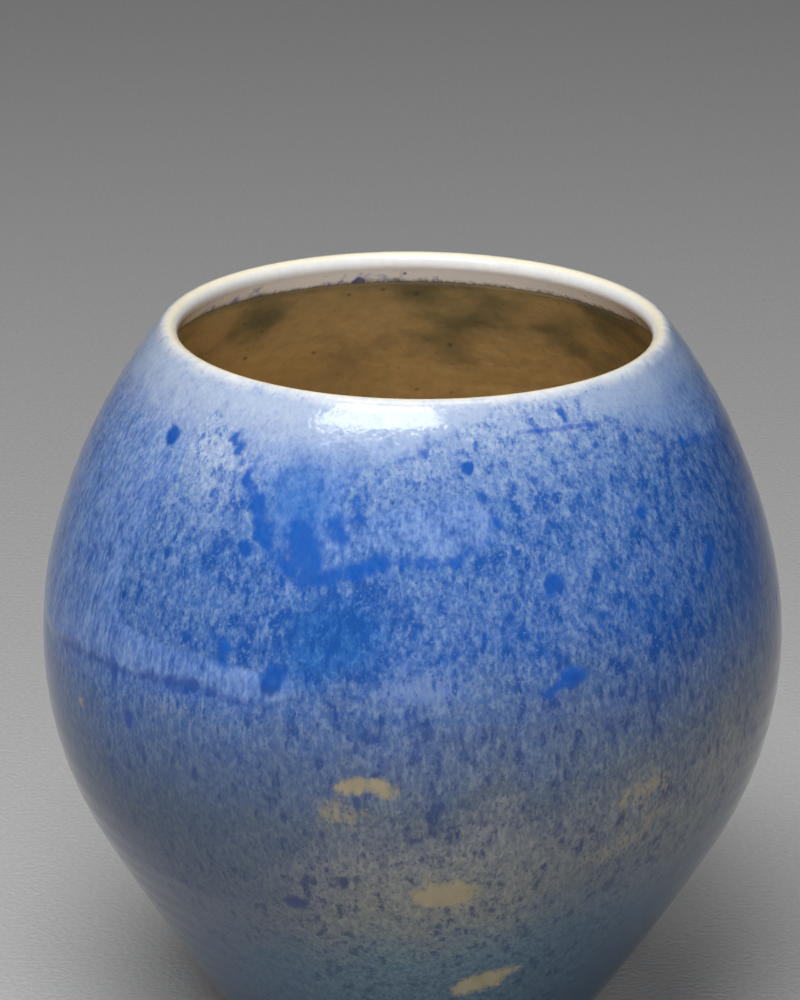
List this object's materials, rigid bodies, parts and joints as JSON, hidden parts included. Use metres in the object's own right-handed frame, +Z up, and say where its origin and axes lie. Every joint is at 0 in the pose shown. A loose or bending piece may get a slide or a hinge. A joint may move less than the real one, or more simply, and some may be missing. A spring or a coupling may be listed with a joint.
{
  "type": "flower vase",
  "caption": "Round-bellied stoneware flower vase with a wide rounded lip and a narrow turned foot, with a mottled blue glaze poured over a cream base and an ochre liner.",
  "frame": {"origin": "centre of the foot ring's resting face, on the axis that the vase was thrown on", "axes": "+Z up along the throwing axis; -Y is the front, where the second pour comes to a point; +X is to the right of the front"},
  "size_m": [0.228, 0.228, 0.233],
  "materials": {
    "stoneware": "bare fired clay, matte, with turning marks",
    "cream_glaze": "glossy cream glaze with a warm line on the crest of the lip",
    "ochre_liner": "satin ochre glaze with dark olive smudges",
    "blue_glaze": "glossy mottled blue glaze, greener and greyer towards the foot",
    "cobalt_wash": "glossy periwinkle glaze with darker cobalt edges where it ran",
    "cobalt": "glossy deep cobalt drops"
  },
  "bodies": {
    "root": {"clay_body": "stoneware", "cream_glaze": "cream_glaze", "liner_glaze": "ochre_liner", "blue_glaze": "blue_glaze", "second_pour": "cobalt_wash", "cobalt_drops": "cobalt"}
  },
  "joints": []
}
